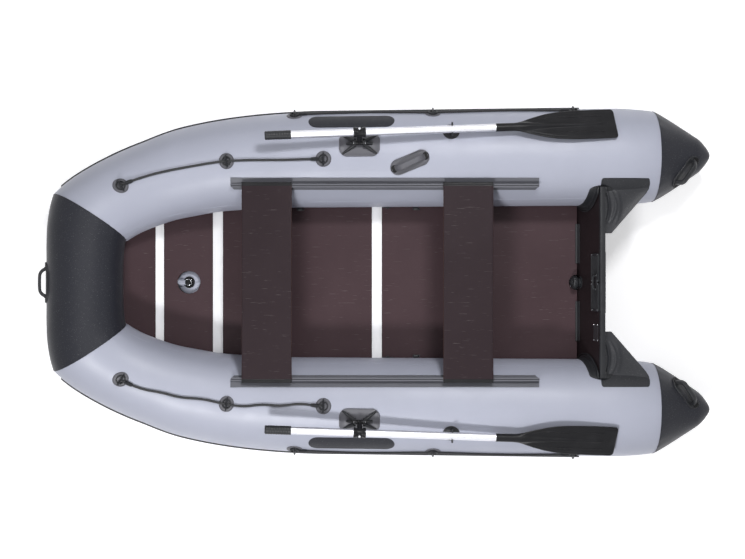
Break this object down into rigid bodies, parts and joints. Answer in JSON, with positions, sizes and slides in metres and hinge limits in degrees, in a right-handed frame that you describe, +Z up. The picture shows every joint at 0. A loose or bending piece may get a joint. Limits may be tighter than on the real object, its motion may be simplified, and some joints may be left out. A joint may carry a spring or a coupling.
{
  "type": "inflatable boat",
  "caption": "Inflatable boat with round side tubes, plywood floor and transom, sliding bench seats, and oars on swivelling oarlocks.",
  "frame": {"origin": "middle of the boat's box, at the level of the surface that the two main tubes lie on", "axes": "+X towards the bow, +Y to port, +Z up"},
  "size_m": [3.1844, 1.7156, 0.5988],
  "materials": {
    "aluminium": "drawn tube, satin",
    "plastic_black": "moulded nylon, black",
    "plastic_white": "aluminium profile, white coated",
    "plywood": "film-faced plywood, dark brown",
    "plywood_brown": "lacquered plywood, brown",
    "pvc_black": "coated fabric, black, satin",
    "pvc_dark": "coated fabric, dark grey, satin",
    "pvc_grey": "coated fabric, light blue-grey, satin",
    "rope": "braided polyester cord, black",
    "rubber_black": "moulded rubber, black, satin",
    "steel": "stainless, brushed"
  },
  "bodies": {
    "hull": {"blank_plate": "steel", "bottom_panel": "pvc_grey", "bow_handle": "plastic_black", "bow_segment": "pvc_black", "carry_handle": "plastic_black", "cone_handles": "plastic_black", "cone_port": "pvc_black", "cone_starboard": "pvc_black", "drain_valve": "plastic_black", "floor_board_1": "plywood", "floor_board_2": "plywood", "floor_board_3": "plywood", "floor_board_4": "plywood", "floor_board_5": "plywood", "floor_clamps": "plastic_black", "floor_profile_1": "plastic_white", "floor_profile_2": "plastic_white", "floor_profile_3": "plastic_white", "floor_profile_4": "plastic_white", "grab_line_inner_port": "rope", "grab_line_inner_starboard": "rope", "grab_line_outer_port": "rope", "grab_line_outer_starboard": "rope", "gusset_port": "pvc_dark", "gusset_starboard": "pvc_dark", "inner_line_eyes": "plastic_black", "keel_guard": "rubber_black", "keel_tube": "pvc_grey", "keel_valve": "plastic_black", "motor_pad_inner": "plastic_black", "motor_pad_outer": "plastic_black", "oar_rests": "plastic_black", "oarlock_base_port": "plastic_black", "oarlock_base_starboard": "plastic_black", "outer_line_eyes": "plastic_black", "rub_strake_port": "rubber_black", "rub_strake_starboard": "rubber_black", "seat_rail_port": "pvc_dark", "seat_rail_starboard": "pvc_dark", "side_patches": "rubber_black", "tie_downs": "plastic_black", "transom_board": "plywood_brown", "transom_edge_cap": "rubber_black", "transom_holders": "rubber_black", "tube_port": "pvc_grey", "tube_starboard": "pvc_grey"},
    "stalk_port": {"oarlock_stalk_port": "plastic_black"},
    "oar_port": {"oar_collar_port": "plastic_black", "oar_shaft_port": "aluminium", "oar_grip_port": "plastic_black", "oar_blade_port": "plastic_black"},
    "stalk_starboard": {"oarlock_stalk_starboard": "plastic_black"},
    "oar_starboard": {"oar_collar_starboard": "plastic_black", "oar_shaft_starboard": "aluminium", "oar_grip_starboard": "plastic_black", "oar_blade_starboard": "plastic_black"},
    "seat_front": {"seat_board_front": "plywood_brown", "seat_sliders_front": "plastic_black"},
    "seat_rear": {"seat_board_rear": "plywood_brown", "seat_sliders_rear": "plastic_black"}
  },
  "joints": [
    {"name": "oarlock_tilt_port", "type": "hinge", "parent": "hull", "child": "stalk_port", "pos_m": [0.0815, 0.65177, 0.48352], "axis": [1, 0, 0], "range_deg": [0, 35]},
    {"name": "oar_swing_port", "type": "hinge", "parent": "stalk_port", "child": "oar_port", "pos_m": [0.0815, 0.69421, 0.54414], "axis": [0, 0.5736, 0.8192], "range_deg": [-100, 0]},
    {"name": "oarlock_tilt_starboard", "type": "hinge", "parent": "hull", "child": "stalk_starboard", "pos_m": [0.0815, -0.65177, 0.48352], "axis": [-1, 0, 0], "range_deg": [0, 35]},
    {"name": "oar_swing_starboard", "type": "hinge", "parent": "stalk_starboard", "child": "oar_starboard", "pos_m": [0.0815, -0.69421, 0.54414], "axis": [0, -0.5736, 0.8192], "range_deg": [0, 100]},
    {"name": "seat_slide_front", "type": "slide", "parent": "hull", "child": "seat_front", "axis": [1, 0, 0], "range_m": [-0.35, 0.04]},
    {"name": "seat_slide_rear", "type": "slide", "parent": "hull", "child": "seat_rear", "axis": [1, 0, 0], "range_m": [-0.19, 0.35]}
  ]
}
